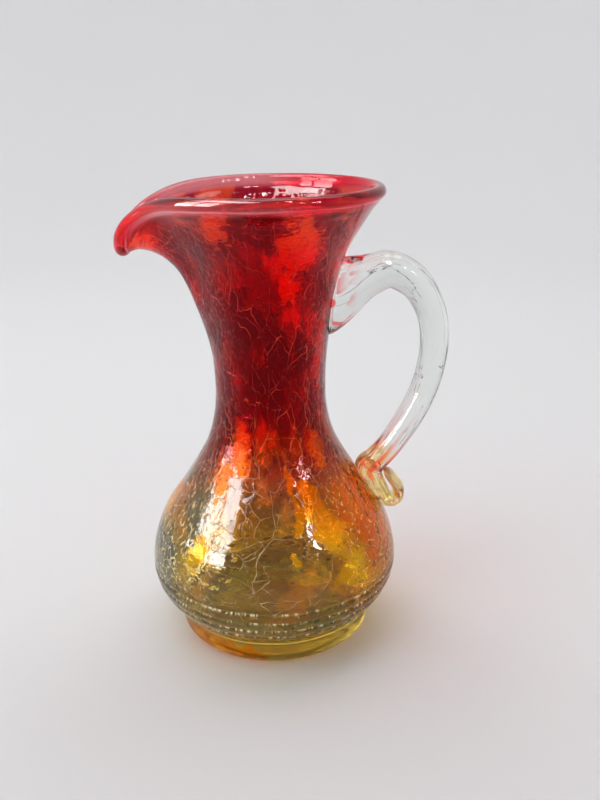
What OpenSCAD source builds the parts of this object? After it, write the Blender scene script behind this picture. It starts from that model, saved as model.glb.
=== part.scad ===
// Small blown-glass pitcher: a round-bellied body with a flared mouth and a pulled spout,
// and one loop handle drawn onto it from a second gather of clear glass.
// Millimetres. +Z is up, the origin is the centre of the ring the pitcher stands on,
// the handle lies along +X and the spout along -X.

/* [Foot] */
// Radius of the foot band
foot_r = 28.7; // [27:0.1:30.5]
// Height of the foot band, up to the crease under the bulb
foot_h = 6.8; // [5:0.1:8.5]
// Rounding of the foot's lower edge
foot_edge = 3.4; // [1:0.1:4.2]
// Width of the flat ring the pitcher stands on
stand_w = 4.6; // [2:0.1:8]
// Height of the hollow pushed up under the foot
kick_h = 3.4; // [1.5:0.1:4.5]
// Radius of the snapped pontil mark in the middle of the hollow
pontil_r = 7; // [4:0.1:10]
// How far the pontil mark hangs below the hollow
pontil_h = 0.7; // [0.2:0.1:1.2]
// How fast the bulb swells out above the crease
crease = 0.45; // [0.1:0.05:0.8]

/* [Bulb] */
// Height of the bulb's lower curve
under_z = 12; // [10.5:0.1:14]
// Radius of the bulb's lower curve
under_r = 33; // [31.5:0.1:34.5]
// Height of the widest part of the bulb
belly_z = 21; // [18:0.1:25]
// Radius of the widest part of the bulb
belly_r = 36.3; // [35:0.1:40]
// Height of the shoulder
shoulder_z = 35; // [31:0.1:38]
// Radius of the shoulder
shoulder_r = 33; // [30:0.1:34.5]
// Height of the slope between shoulder and neck
slope_z = 47; // [45:0.1:50]
// Radius of the slope between shoulder and neck
slope_r = 25.2; // [23:0.1:27]

/* [Neck] */
// Height where the slope runs into the neck
collar_z = 60; // [57:0.1:65]
// Radius where the slope runs into the neck
collar_r = 18; // [17:0.1:20]
// Height of the narrowest part of the neck
neck_z = 75; // [70:0.1:80]
// Radius of the narrowest part of the neck
neck_r = 15.6; // [13.5:0.1:16.8]

/* [Mouth] */
// Height where the neck begins to open out
throat_z = 98; // [92:0.1:103]
// Radius where the neck begins to open out
throat_r = 18; // [17:0.1:19.5]
// Height of the flare
flare_z = 112; // [108:0.1:115]
// Radius of the flare
flare_r = 21.3; // [20:0.1:23]
// Height of the upper flare
lip_z = 120.5; // [118:0.1:123]
// Radius of the upper flare
lip_r = 26.1; // [24.5:0.1:28]
// Height at which the wall ends in the rim bead
rim_z = 127.7; // [125:0.1:131]
// Outer radius at which the wall ends in the rim bead
rim_r = 30.8; // [29.5:0.1:33]
// Radius of the rounded rim bead
bead_r = 1.75; // [1.4:0.05:2.4]
// Radius of the bead at the tip of the spout
bead_tip_r = 2.1; // [1.5:0.05:2.5]

/* [Spout] */
// Height at which the pull of the spout begins
spout_z = 84; // [80:0.1:90]
// How far the spout is pulled out beyond the round mouth
spout_reach = 10; // [6:0.1:13]
// Half angle over which the spout is pulled out
spout_spread = 19; // [15:0.5:28]
// How far the tip of the spout is turned down
spout_drop = 14.8; // [8:0.1:17]
// Half angle over which the spout is turned down
drop_spread = 17.3; // [14:0.1:26]
// How far the very tip is tucked back in
tip_tuck = 2.7; // [1:0.1:5]
// Half angle of the tuck at the tip
tuck_spread = 8; // [6:0.1:12]

/* [Glass] */
// Thickness of the wall
wall = 2.2; // [1.8:0.1:2.6]
// Height of the inside floor over the table
floor_z = 7.4; // [5.5:0.1:9]
// Radius of the flat part of the inside floor
floor_r = 17; // [10:0.5:22]
// Height at which the inside corner has turned up into the wall
corner_z = 14; // [12.5:0.1:17]

/* [Handle] */
// Height of the middle of the pad on the neck
pad_z = 99.4; // [96:0.1:101]
// Height of the pad on the neck
pad_h = 22.6; // [16:0.1:24]
// Width of the pad on the neck
pad_w = 13.2; // [10:0.1:16]
// Lean of the pad, following the flare
pad_lean = 12; // [6:1:16]
// Distance from the axis to the crest of the handle
crest_x = 32.3; // [30:0.1:35]
// Height of the crest of the handle, at the middle of the rod
crest_z = 106.7; // [104:0.1:110]
// Thickness of the rod at the crest
crest_d = 10.7; // [9:0.1:12]
// Distance from the axis to the rod's middle where it stands out farthest
reach_x = 46.4; // [42:0.1:52]
// Height at which the rod stands out farthest
reach_z = 86; // [82:0.1:90]
// Thickness of the rod there
reach_d = 8.1; // [7:0.1:9.5]
// Height at which the rod lands on the bulb
land_z = 48.6; // [47:0.1:52]
// Thickness of the rod just above the landing
land_d = 7.5; // [6.5:0.1:8.5]

/* [Tail] */
// Length of the tail pressed down along the bulb below the landing
tail_len = 17.5; // [16:0.1:20]
// Thickness of the tail
tail_t = 3.5; // [2.8:0.1:3.8]
// Width of the tail
tail_w = 9; // [7:0.1:11]
// Distance between the two legs of the fold, middle to middle
fold_gap = 5; // [4.6:0.1:6]
// Length of the leg folded back up
fold_len = 8.8; // [6:0.1:9]
// How far the glass is pressed into its seat before the seat is cut
press = 0.5; // [0.3:0.1:1]

/* [Hidden] */
$fn = 96;

ruby = [0.62, 0.03, 0.07, 0.75];
clear = [0.86, 0.88, 0.87, 0.5];

BODY_STEPS = 34;   // rings of the turned body between crease and spout
MOUTH_STEPS = 14;  // rings of the mouth between spout and bead
BEAD_STEPS = 10;   // facets round the open side of the bead
AROUND = 96;       // meridians of the mouth
LAP = 1;           // depth at which the mouth's wall runs down into the body's wall
TUCK = 0.02;       // how far the lap stands inside the body's faces
ROD_AROUND = 24;   // points round the handle
ROD_STEPS = 4;     // rings between two stations of the handle

// ---- outside of the round body: a smooth curve through named heights and radii ----

PROFILE = [
    [foot_h, foot_r], [under_z, under_r], [belly_z, belly_r], [shoulder_z, shoulder_r],
    [slope_z, slope_r], [collar_z, collar_r], [neck_z, neck_r], [throat_z, throat_r],
    [flare_z, flare_r], [lip_z, lip_r], [rim_z, rim_r]
];

function rise(i) = (PROFILE[i + 1][1] - PROFILE[i][1]) / (PROFILE[i + 1][0] - PROFILE[i][0]);

// Slope of the profile at point i: level at a widest or narrowest point, smooth elsewhere
function slope(i) =
    i == 0 ? crease
    : i == len(PROFILE) - 1 ? rise(i - 1)
    : rise(i - 1) * rise(i) <= 0 ? 0
    : let (below = PROFILE[i][0] - PROFILE[i - 1][0], above = PROFILE[i + 1][0] - PROFILE[i][0])
        (above * rise(i - 1) + below * rise(i)) / (below + above);

function span(z, i = 0) =
    i >= len(PROFILE) - 2 || z < PROFILE[i + 1][0] ? i : span(z, i + 1);

function cubic(a, b, ma, mb, t) =
    (2 * t ^ 3 - 3 * t ^ 2 + 1) * a + (t ^ 3 - 2 * t ^ 2 + t) * ma
    + (-2 * t ^ 3 + 3 * t ^ 2) * b + (t ^ 3 - t ^ 2) * mb;

function outside(z) =
    let (i = span(z), h = PROFILE[i + 1][0] - PROFILE[i][0], t = (z - PROFILE[i][0]) / h)
    cubic(PROFILE[i][1], PROFILE[i + 1][1], h * slope(i), h * slope(i + 1), t);

function steepness(z) = (outside(z + 0.05) - outside(z - 0.05)) / 0.1;

// Inside radius that leaves the wall its full thickness square to the slope
function inside(z) = outside(z) - wall * sqrt(1 + steepness(z) ^ 2);

BODY_Z = [for (i = [0 : BODY_STEPS]) foot_h + (spout_z - foot_h) * i / BODY_STEPS];

foot_line = [
    for (a = [-90 : 15 : 0])
        [foot_r - foot_edge + foot_edge * cos(a), foot_edge + foot_edge * sin(a)]
];

// ---- underside: flat ring, pushed-up hollow, pontil mark ----

hollow_r = foot_r - foot_edge - stand_w;

function hollow(r) = kick_h * (1 - (r / hollow_r) ^ 2);

hollow_line = [
    for (i = [0 : 8])
        let (r = pontil_r + (hollow_r - pontil_r) * i / 8)
        [r, hollow(r)]
];

pontil_line = [[0, kick_h - pontil_h], [pontil_r - pontil_h, kick_h - pontil_h]];

// ---- inside floor, turning up into the wall ----

corner_r = inside(corner_z);
corner_slope = steepness(corner_z);
corner_pull = (corner_z - floor_z) * 0.55;

function bend(a, b, c, d, t) =
    (1 - t) ^ 3 * a + 3 * t * (1 - t) ^ 2 * b + 3 * t ^ 2 * (1 - t) * c + t ^ 3 * d;

corner_line = [
    for (t = [0 : 0.125 : 1])
        bend([floor_r, floor_z], [(floor_r + 2 * corner_r) / 3, floor_z],
            [corner_r - corner_slope * corner_pull, corner_z - corner_pull],
            [corner_r, corner_z], t)
];

// ---- mouth: the round flare pulled out and down into a spout ----

function along(z) = (z - spout_z) / (rim_z - spout_z);

function off_spout(turn) = abs(turn - 180);

function pull(turn) =
    spout_reach * exp(-(off_spout(turn) / spout_spread) ^ 2)
    - tip_tuck * exp(-(off_spout(turn) / tuck_spread) ^ 2);

function fall(turn) = spout_drop / (1 + (off_spout(turn) / drop_spread) ^ 2) ^ 1.5;

function skin(turn, z) =
    let (s = max(along(z), 0), r = outside(z) + pull(turn) * s ^ 1.3)
    [r * cos(turn), r * sin(turn), z - fall(turn) * s ^ 4];

function unit(v) = v / norm(v);

function skin_up(turn, z) = unit(skin(turn, z) - skin(turn, z - 0.2));

function skin_in(turn, z) =
    unit(cross(skin_up(turn, z - 0.05), skin(turn + 0.2, z) - skin(turn - 0.2, z)));

// Meridians stand closer together round the spout than round the handle
TURNS = [for (i = [0 : AROUND - 1]) 360 * i / AROUND + 28 * sin(360 * i / AROUND)];

// Rings stand closer together towards the rim; the last one stays clear of the bead
mouth_top = rim_z - 1.15 * bead_r;
MOUTH_Z = [
    for (i = [0 : MOUTH_STEPS])
        let (u = i / MOUTH_STEPS)
        spout_z + (mouth_top - spout_z) * (1.4 * u - 0.4 * u ^ 2)
];

function bead(turn) =
    bead_r + (bead_tip_r - bead_r) / (1 + (off_spout(turn) / drop_spread) ^ 2) ^ 1.5;

function bead_ring(j) = [
    for (turn = TURNS)
        let (
            inward = skin_in(turn, rim_z),
            path = unit(skin(turn + 0.2, rim_z) - skin(turn - 0.2, rim_z)),
            up = unit(cross(path, inward)),
            open = 180 - asin(wall / 2 / bead(turn)),
            a = -open + 2 * open * j / BEAD_STEPS
        )
        skin(turn, rim_z) + inward * wall / 2 + bead(turn) * (cos(a) * up + sin(a) * inward)
];

function flat_ring(r, z) = [for (turn = TURNS) [r * cos(turn), r * sin(turn), z]];

mouth_rings = concat(
    [flat_ring(outside(spout_z) - wall / 3, spout_z - LAP)],
    [flat_ring(outside(spout_z) - TUCK, spout_z)],
    [for (i = [1 : MOUTH_STEPS]) [for (turn = TURNS) skin(turn, MOUTH_Z[i])]],
    [for (j = [0 : BEAD_STEPS]) bead_ring(j)],
    [
        for (i = [MOUTH_STEPS : -1 : 1])
            [for (turn = TURNS) skin(turn, MOUTH_Z[i]) + wall * skin_in(turn, MOUTH_Z[i])]
    ],
    [flat_ring(inside(spout_z) + 2 * TUCK, spout_z)],
    [flat_ring(inside(spout_z) + wall / 3, spout_z - LAP)]
);

// A skin of quads, each cut in two, between neighbouring rings of equal length
function strip(a, b, count) = [
    for (i = [0 : count - 1])
        let (j = (i + 1) % count)
        each [
            [a * count + i, b * count + i, b * count + j],
            [a * count + i, b * count + j, a * count + j]
        ]
];

// ---- handle: stations along its middle line, each [x, z, half thickness, half width] ----

pad_x = outside(pad_z) - 1.9;

function pad_station(u) =
    let (k = cos(90 * u))
    [
        pad_x + (crest_x - pad_x) * u,
        crest_z - (crest_z - pad_z) * k ^ 1.6,
        (crest_d + (pad_h - crest_d) * k ^ 2) / 2,
        (crest_d + (pad_w - crest_d) * k ^ 2) / 2
    ];

function arch_station(t) = [
    crest_x + (reach_x - crest_x) * sin(t),
    reach_z + (crest_z - reach_z) * cos(t),
    (crest_d + (reach_d - crest_d) * sin(t)) / 2,
    (crest_d + (reach_d - crest_d) * sin(t)) / 2
];

// The bulb's wall at the landing: a point on it, its direction downwards and outwards
land = [outside(land_z), land_z];
down = unit([-steepness(land_z - 4), -1]);
out = [-down[1], down[0]];

// A point of the tail, measured down along the bulb's wall and out from it
function on_wall(s, n) = land + down * s + out * n;

approach = on_wall(1.6, land_d * 1.15);

function descent_station(t) =
    let (
        p = bend([reach_x, reach_z], [reach_x, reach_z * 0.62 + approach[1] * 0.38],
            approach + [0.62, 0.78] * 12, approach, t),
        d = reach_d + (land_d - reach_d) * t
    )
    [p[0], p[1], d / 2, d / 2];

leg = tail_t / 2;
fold_s = tail_len - leg;
half_w = tail_w / 2;

// Station of the tail at s down and n out, with its half thickness and half width
function tail_station(s, n, t, w) = [on_wall(s, n)[0], on_wall(s, n)[1], t, w];

// The leg that lies on the bulb gets thinner on its way down; its face is pressed into the wall
function leg_station(s) =
    let (t = leg * 1.1 + (land_d * 0.385 - leg * 1.1) * (fold_s - s) / (fold_s - 5.7))
    tail_station(s, t - press, t, half_w);

STATIONS = concat(
    [for (u = [0 : 0.2 : 0.8]) pad_station(u)],
    [for (t = [0 : 30 : 90]) arch_station(t)],
    [for (t = [0.25 : 0.25 : 1]) descent_station(t)],
    [
        tail_station(2.3, land_d * 0.8, land_d * 0.47, half_w * 0.94),
        tail_station(3.6, land_d * 0.52, land_d * 0.43, half_w),
        tail_station(5.7, land_d * 0.36, land_d * 0.385, half_w)
    ],
    [for (s = [8.4, fold_s - 4.6, fold_s - 1.8]) leg_station(s)],
    [
        tail_station(fold_s - 0.1, leg - press + fold_gap * 0.3, leg * 0.94, half_w * 0.96),
        tail_station(fold_s, leg - press + fold_gap * 0.7, leg * 0.92, half_w * 0.92),
        tail_station(fold_s - 1.7, leg - press + fold_gap, leg, half_w * 0.88),
        tail_station(fold_s - fold_len * 0.6, leg - press + fold_gap * 1.1, leg * 0.92, half_w * 0.8),
        tail_station(fold_s - fold_len * 0.92, leg - press + fold_gap * 1.08, leg * 0.75, half_w * 0.6),
        tail_station(fold_s - fold_len * 1.08, leg - press + fold_gap * 1.06, leg * 0.3, half_w * 0.3)
    ]
);

LAST = len(STATIONS) - 1;

function chord(i) =
    norm([STATIONS[i + 1][0] - STATIONS[i][0], STATIONS[i + 1][1] - STATIONS[i][1]]);

function step(i) = (STATIONS[i + 1] - STATIONS[i]) / chord(i);

function tangent(i) =
    i == 0 ? step(0)
    : i == LAST ? step(LAST - 1)
    : (chord(i) * step(i - 1) + chord(i - 1) * step(i)) / (chord(i - 1) + chord(i));

// Smooth curve that passes through every station
function through(i, t) =
    cubic(STATIONS[i], STATIONS[i + 1], chord(i) * tangent(i), chord(i) * tangent(i + 1), t);

ROD = concat(
    [for (i = [0 : LAST - 1], t = [0 : ROD_STEPS - 1]) through(i, t / ROD_STEPS)],
    [STATIONS[LAST]]
);

function heading(i) =
    let (a = ROD[max(i - 1, 0)], b = ROD[min(i + 1, len(ROD) - 1)])
    unit([b[0] - a[0], b[1] - a[1]]);

// Direction across the rod: it leans with the neck at the pad, and is square to the path
// from the crest on
crest_i = 5 * ROD_STEPS;

function square(i) = let (h = heading(i)) [-h[1], h[0]];

function across(i) =
    i >= crest_i ? square(i)
    : let (
        last = square(crest_i),
        lean = pad_lean + (atan2(last[0], last[1]) - pad_lean) * i / crest_i
    )
    [sin(lean), cos(lean)];

rod_points = [
    for (i = [0 : len(ROD) - 1], k = [0 : ROD_AROUND - 1])
        let (
            a = 360 * k / ROD_AROUND,
            e = across(i),
            c = ROD[i][2] * cos(a)
        )
        [ROD[i][0] + e[0] * c, -ROD[i][3] * sin(a), ROD[i][1] + e[1] * c]
];

// ---- pieces ----

module round_body() {
    rotate_extrude()
        polygon(concat(
            pontil_line, hollow_line, foot_line,
            [for (z = BODY_Z) [outside(z), z]],
            [for (i = [BODY_STEPS : -1 : 0]) if (BODY_Z[i] > corner_z + 1) [inside(BODY_Z[i]), BODY_Z[i]]],
            [for (i = [len(corner_line) - 1 : -1 : 0]) corner_line[i]],
            [[0, floor_z]]
        ));
}

module mouth() {
    count = len(mouth_rings);
    polyhedron(
        points = [for (ring = mouth_rings) each ring],
        faces = [for (i = [0 : count - 1]) each strip(i, (i + 1) % count, AROUND)],
        convexity = 6
    );
}

// Everything inside the vessel's outer face, used to cut the handle's two seats
module seat() {
    rotate_extrude()
        polygon(concat(
            [[0, foot_h]],
            [for (z = BODY_Z) [outside(z), z]],
            [for (i = [1 : MOUTH_STEPS]) [outside(MOUTH_Z[i]), MOUTH_Z[i]]],
            [[0, MOUTH_Z[MOUTH_STEPS]]]
        ));
}

module rod() {
    last = len(ROD) - 1;
    polyhedron(
        points = rod_points,
        faces = concat(
            [for (i = [0 : last - 1]) each strip(i, i + 1, ROD_AROUND)],
            [[for (k = [0 : ROD_AROUND - 1]) k]],
            [[for (k = [ROD_AROUND - 1 : -1 : 0]) last * ROD_AROUND + k]]
        ),
        convexity = 6
    );
}

module vessel() {
    color(ruby)
        union() {
            round_body();
            mouth();
        }
}

module handle() {
    color(clear)
        difference() {
            rod();
            seat();
        }
}

vessel();
handle();
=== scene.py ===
import math

import bmesh
import bpy
import numpy as np
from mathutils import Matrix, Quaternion, Vector


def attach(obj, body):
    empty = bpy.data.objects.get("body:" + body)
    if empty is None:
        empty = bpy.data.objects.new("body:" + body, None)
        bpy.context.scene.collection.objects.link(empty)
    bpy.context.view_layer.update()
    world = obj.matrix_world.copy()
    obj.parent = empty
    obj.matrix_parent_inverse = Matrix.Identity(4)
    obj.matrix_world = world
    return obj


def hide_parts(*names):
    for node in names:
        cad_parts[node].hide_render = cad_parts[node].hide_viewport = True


bl_info = {
    "name": "Crackle Glass Pitcher",
    "version": (1, 0, 0),
    "blender": (4, 5, 0),
    "location": "3D View > Sidebar > Pitcher",
    "description": "Builds a small blown crackle-glass pitcher with a pulled spout and a drawn handle",
    "category": "Add Mesh",
}

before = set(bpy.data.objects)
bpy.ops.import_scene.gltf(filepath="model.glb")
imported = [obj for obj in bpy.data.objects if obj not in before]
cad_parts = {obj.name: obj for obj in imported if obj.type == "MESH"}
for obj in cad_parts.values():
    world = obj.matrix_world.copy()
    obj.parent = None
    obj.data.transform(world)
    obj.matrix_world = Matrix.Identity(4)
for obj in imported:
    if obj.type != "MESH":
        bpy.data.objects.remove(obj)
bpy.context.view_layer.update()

MM = 0.001
WELD = 0.004 * MM
BODY = "root"


# ---- properties ----


def setting(kind, convert=lambda value: value, **fixed):
    """Makes a short way to declare settings of one kind, by name, value and description."""
    def declare(name, value, description):
        return kind(name=name, description=description, default=convert(value), **fixed)
    return declare


# Lengths are given in millimetres, angles in degrees, and a knot as a height and a radius.
length = setting(bpy.props.FloatProperty, lambda value: value * MM, unit="LENGTH", precision=4)
knot = setting(bpy.props.FloatVectorProperty, lambda pair: (pair[0] * MM, pair[1] * MM),
               size=2, unit="LENGTH", precision=4)
degrees = setting(bpy.props.FloatProperty, math.radians, subtype="ANGLE")
number = setting(bpy.props.FloatProperty)
count = setting(bpy.props.IntProperty)
colour = setting(bpy.props.FloatVectorProperty, size=3, min=0.0, max=1.0, subtype="COLOR")


class PitcherFoot(bpy.types.PropertyGroup):
    """The band that the pitcher stands on and the hollow under it."""

    radius: length("Radius", 28.7, "Radius of the foot band")
    height: length("Height", 6.8, "Height of the crease between foot and bulb")
    edge: length("Edge", 3.4, "Rounding of the lower edge")
    ring: length("Standing ring", 4.6, "Width of the flat ring that touches the table")
    kick: length("Kick", 3.4, "Height of the hollow under the foot")
    pontil: length("Pontil radius", 7.0, "Radius of the snapped pontil mark")
    pontil_drop: length("Pontil drop", 0.7, "How far the pontil mark hangs into the hollow")
    crease: number("Crease", 0.45, "How fast the bulb swells out above the crease")


class PitcherBody(bpy.types.PropertyGroup):
    """Heights and radii that the outside of the blown body passes through."""

    under: knot("Under", (12.0, 33.0), "The bulb's lower curve")
    belly: knot("Belly", (21.0, 36.3), "The widest part of the bulb")
    shoulder: knot("Shoulder", (35.0, 33.0), "The shoulder of the bulb")
    slope: knot("Slope", (47.0, 25.2), "The slope between shoulder and neck")
    collar: knot("Collar", (60.0, 18.0), "Where the slope runs into the neck")
    neck: knot("Neck", (75.0, 15.6), "The narrowest part")
    throat: knot("Throat", (98.0, 18.0), "Where the neck begins to open out")
    flare: knot("Flare", (112.0, 21.3), "The flare of the mouth")
    lip: knot("Lip", (120.5, 26.1), "The upper flare")
    rim: knot("Rim", (127.7, 30.8), "Where the wall ends in the rim bead")
    wall: length("Wall", 2.2, "Thickness of the wall")
    floor: length("Inside floor", 7.4, "Height of the inside floor over the table")
    floor_flat: length("Flat floor", 17.0, "Radius of the flat part of the inside floor")
    corner: length("Corner", 14.0, "Height where the inside corner has turned up into the wall")
    bead: length("Bead", 1.75, "Radius of the rolled rim")
    bead_tip: length("Bead at the tip", 2.1, "Radius of the rolled rim at the tip of the spout")
    threads: count("Threads", 4, "Number of raised threads low on the bulb")
    thread: length("Thread", 0.42, "How far the threads stand out")
    thread_base: length("Thread base", 9.2, "Height from which the threads are counted")
    thread_pitch: length("Thread pitch", 3.1, "Distance from one thread to the next")


class PitcherSpout(bpy.types.PropertyGroup):
    """How the round mouth is pulled out and turned down on one side."""

    start: length("Start", 84.0, "Height where the pull begins")
    reach: length("Reach", 10.0, "How far the spout is pulled out")
    spread: degrees("Spread", 19.0, "Half angle over which it is pulled out")
    drop: length("Drop", 14.8, "How far the tip is turned down")
    drop_spread: degrees("Drop spread", 17.3, "Half angle over which it is turned down")
    tuck: length("Tuck", 2.7, "How far the very tip is tucked back in")
    tuck_spread: degrees("Tuck spread", 8.0, "Half angle of the tuck")


class PitcherHandle(bpy.types.PropertyGroup):
    """The rod of clear glass that is drawn from the neck to the bulb and folded back there."""

    pad_height: length("Pad height", 99.4, "Height of the middle of the pad on the neck")
    pad_size: length("Pad size", 22.6, "Height of the pad itself")
    pad_width: length("Pad width", 13.2, "Width of the pad on the neck")
    pad_lean: degrees("Pad lean", 12.0, "Lean of the pad, following the flare")
    crest_x: length("Crest distance", 32.3, "Distance from the axis to the crest")
    crest_z: length("Crest height", 106.7, "Height of the rod's middle at the crest")
    crest_d: length("Crest thickness", 10.7, "Thickness of the rod at the crest")
    reach_x: length("Reach", 46.4, "Distance from the axis where the rod stands out farthest")
    reach_z: length("Reach height", 86.0, "Height where the rod stands out farthest")
    reach_d: length("Reach thickness", 8.1, "Thickness of the rod there")
    land_z: length("Landing height", 48.6, "Height where the rod lands on the bulb")
    land_d: length("Landing thickness", 7.5, "Thickness of the rod above the landing")
    heel: length("Heel", 1.0, "How far the rod spreads towards the bulb where it lands")
    tail: length("Tail", 17.5, "Length of the tail pressed down along the bulb")
    tail_t: length("Tail thickness", 3.5, "Thickness of the tail")
    tail_w: length("Tail width", 9.0, "Width of the tail")
    fold_gap: length("Fold gap", 5.0, "Distance between the two legs of the fold")
    fold: length("Fold", 8.8, "Length of the leg folded back up")
    press: length("Press", 0.5, "How far the glass is pressed into its seat")
    seat_gap: length("Seat gap", 0.02, "Space left between the handle and the vessel")


class PitcherGlass(bpy.types.PropertyGroup):
    """Colours and crackle of the glass."""

    foot: colour("Foot", (0.76, 0.60, 0.10), "Glass of the foot")
    low: colour("Under the bulb", (0.56, 0.55, 0.09), "Yellow-brown glass low on the bulb")
    bulb: colour("Bulb", (0.47, 0.28, 0.015), "Amber glass of the bulb")
    shoulder: colour("Shoulder", (0.44, 0.12, 0.010), "Orange-brown glass of the shoulder")
    slope: colour("Slope", (0.44, 0.034, 0.008), "Dark orange-red glass under the neck")
    neck: colour("Neck", (0.32, 0.0012, 0.008), "Dark ruby glass of the neck")
    mouth: colour("Mouth", (0.38, 0.001, 0.016), "Ruby glass of the mouth")
    rim: colour("Rim", (0.80, 0.02, 0.05), "Glass of the rolled rim")
    # Painted highlight: a paler pink on the rim's left side, facing the window, short of the spout's tip.
    rim_highlight: colour("Pale rim", (0.84, 0.22, 0.25), "Rim where it runs towards the spout")
    # Painted glow: these thin colours also stand in for light shining through the glass in patches.
    amber_glow: colour("Thin amber", (1.00, 0.66, 0.03), "Bulb where the colour lies thin")
    orange_glow: colour("Thin orange", (1.00, 0.27, 0.01), "Shoulder where the colour lies thin")
    ruby_glow: colour("Thin ruby", (1.00, 0.010, 0.004), "Neck and mouth where the colour lies thin")
    # The crackle is the glass's own pattern; its bright colours are painted light caught in the cracks.
    crack: colour("Crackle", (1.00, 0.84, 0.34), "Bright edges of the crackle in the amber")
    blaze: colour("Shoulder crackle", (1.00, 0.42, 0.06), "Bright edges of the crackle on the shoulder")
    # Painted shade beside the crack lines, in the amber and in the ruby.
    crack_shade: colour("Crackle shadow", (0.20, 0.11, 0.010), "Dark glass along the crackle in the amber")
    ruby_dusk: colour("Ruby shadow", (0.10, 0.0, 0.0), "Dark glass along the crackle in the ruby")
    # Painted glints on the raised threads.
    silver: colour("Thread silver", (1.0, 0.96, 0.68), "Broken silver on the raised threads")
    # Painted shade between the raised threads.
    groove: colour("Thread groove", (0.14, 0.10, 0.015), "Dark glass between the raised threads")
    # Painted reflection: grey haze of the window mirrored on the bulb's left flank.
    window_haze: colour("Spout side", (0.46, 0.43, 0.32), "Smoky glass of the bulb under the spout")
    # Painted glow: orange light through the bulb on the handle side, also tinting what it mirrors there.
    ember: colour("Handle side", (0.98, 0.30, 0.006), "Glowing glass of the bulb under the handle")
    spark: colour("Ruby crackle", (1.00, 0.08, 0.02), "Bright edges of the crackle in the ruby")
    # Painted reflection: the red that the ruby glass mirrors.
    sheen: colour("Ruby sheen", (1.00, 0.10, 0.12), "What the ruby glass mirrors")
    clear: colour("Handle", (0.90, 0.92, 0.905), "Clear glass of the handle")
    # Painted refraction: the ruby neck seen through the pad.
    refracted_ruby: colour("Ruby in the handle", (0.95, 0.03, 0.03), "Ruby picked up where it is fused on")
    warmth: colour("Orange in the handle", (1.00, 0.24, 0.010), "Orange picked up from the bulb")
    straw: colour("Yellow in the handle", (1.00, 0.80, 0.20), "Yellow picked up from the bulb")
    cell: length("Cell", 13.0, "Width of the large cells of the crackle")
    depth: length("Crackle depth", 0.10, "Depth of the crackle lines")


class PitcherStage(bpy.types.PropertyGroup):
    """The table, the light and the camera."""

    table: colour("Table", (0.80, 0.80, 0.81), "Colour of the floor and backdrop")
    softbox: number("Softbox", 2.5, "Brightness of the softbox")
    window: number("Window", 22.0, "Brightness of the window")
    daylight: number("Daylight", 1.9, "Brightness of what the window throws on matt surfaces")
    fill: number("Fill", 0.2, "Brightness of the room")


# ---- node trees written as arithmetic ----


class Wire:
    """A value in a node tree. Arithmetic on it adds Math nodes to the tree."""

    def __init__(self, tree, socket):
        self.tree = tree
        self.socket = socket

    def math(self, operation, *others):
        return maths(self.tree, operation, self, *others)

    def at_least(self, other):
        return self.math("MAXIMUM", other)

    def limited(self):
        """The value held between 0 and 1."""
        return self.at_least(0.0).math("MINIMUM", 1.0)


for sign, kind in (("add", "ADD"), ("sub", "SUBTRACT"), ("mul", "MULTIPLY"), ("truediv", "DIVIDE"),
                   ("pow", "POWER")):
    setattr(Wire, f"__{sign}__", lambda self, other, kind=kind: maths(self.tree, kind, self, other))
    setattr(Wire, f"__r{sign}__", lambda self, other, kind=kind: maths(self.tree, kind, other, self))


def connect(tree, value, socket):
    """Links a wire to a socket, or writes a plain value on it."""
    if isinstance(value, Wire):
        tree.links.new(value.socket, socket)
    else:
        socket.default_value = value


def place(tree, kind, inputs=None, **settings):
    """Adds a node with its settings, and feeds its inputs by name or number."""
    node = tree.nodes.new(kind)
    for name, value in settings.items():
        setattr(node, name, value)
    for key, value in (inputs or {}).items():
        connect(tree, value, node.inputs[key])
    return node


def wire(tree, kind, inputs=None, output=0, **settings):
    """Adds a node and returns one of its outputs as a wire."""
    return Wire(tree, place(tree, kind, inputs, **settings).outputs[output])


def maths(tree, operation, *values):
    return wire(tree, "ShaderNodeMath", dict(enumerate(values)), operation=operation)


def vectors(operation, *values):
    """Vector arithmetic; the first value is a wire."""
    output = 1 if operation in ("LENGTH", "DOT_PRODUCT") else 0
    inputs = dict(enumerate(values))
    return wire(values[0].tree, "ShaderNodeVectorMath", inputs, output, operation=operation)


def scaled(vector, factor):
    return wire(vector.tree, "ShaderNodeVectorMath", {0: vector, "Scale": factor}, operation="SCALE")


def stretched(vector, factor):
    """A vector with its third part multiplied."""
    return vectors("MULTIPLY", vector, (1.0, 1.0, factor))


def combine(*parts):
    tree = next(part.tree for part in parts if isinstance(part, Wire))
    return wire(tree, "ShaderNodeCombineXYZ", dict(enumerate(parts)))


def separate(vector):
    node = place(vector.tree, "ShaderNodeSeparateXYZ", {0: vector})
    return [Wire(vector.tree, socket) for socket in node.outputs]


def noise(vector, scale, detail=2.0, output=0):
    inputs = {"Vector": vector, "Scale": scale, "Detail": detail}
    return wire(vector.tree, "ShaderNodeTexNoise", inputs, output)


def bell(value, sharpness=1.0):
    """One where the value is zero, and less on both sides of it."""
    return (value * value * -sharpness).math("EXPONENT")


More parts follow.
